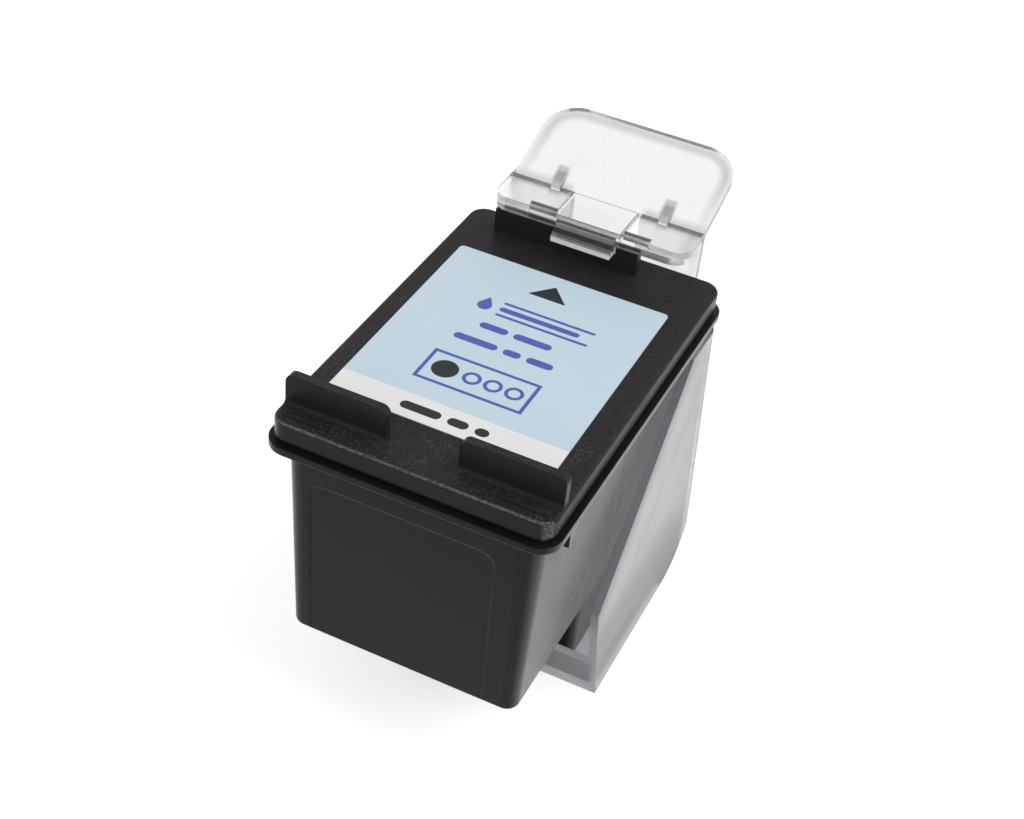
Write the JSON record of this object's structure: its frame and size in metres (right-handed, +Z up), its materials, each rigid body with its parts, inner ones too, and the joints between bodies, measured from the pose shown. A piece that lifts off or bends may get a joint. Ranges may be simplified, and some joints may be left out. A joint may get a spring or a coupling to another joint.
{
  "type": "inkjet ink cartridge",
  "caption": "Black inkjet ink cartridge with two grip fins and a pale label on its lid, standing in the clear protective clip that covers its printhead.",
  "frame": {"origin": "centre of the protective clip's flat underside, on which the cartridge stands", "axes": "+Z up through the lid, +Y from the grip fins to the thumb flap, +X to the right seen from the fins"},
  "size_m": [0.0386, 0.0703, 0.0586],
  "materials": {
    "body_plastic": "fine satin moulded black",
    "lid_plastic": "fine grained moulded black",
    "label_film": "satin printed film, pale blue with a white band",
    "plug_rubber": "plain",
    "ink_foam": "open cell foam soaked with black ink",
    "filter_mesh": "woven mesh",
    "polyimide": "amber film",
    "gold_pads": "gold plated",
    "copper": "bare copper under varnish",
    "adhesive": "cured",
    "silicon": "polished",
    "nozzle_metal": "gold plated nickel",
    "encapsulant": "glossy resin",
    "clear_plastic": "clear, slightly milky moulding",
    "seal_foam": "closed cell"
  },
  "bodies": {
    "root": {"body_shell": "body_plastic", "lid": "lid_plastic", "label": "label_film", "fill_plug": "plug_rubber", "foam_block": "ink_foam", "filter_screen": "filter_mesh", "flex_circuit": "polyimide", "contact_pads": "gold_pads", "copper_traces": "copper", "die_adhesive": "adhesive", "printhead_die": "silicon", "nozzle_plate": "nozzle_metal", "left_bead": "encapsulant", "right_bead": "encapsulant", "protective_clip": "clear_plastic", "seal_pad": "seal_foam"}
  },
  "joints": []
}
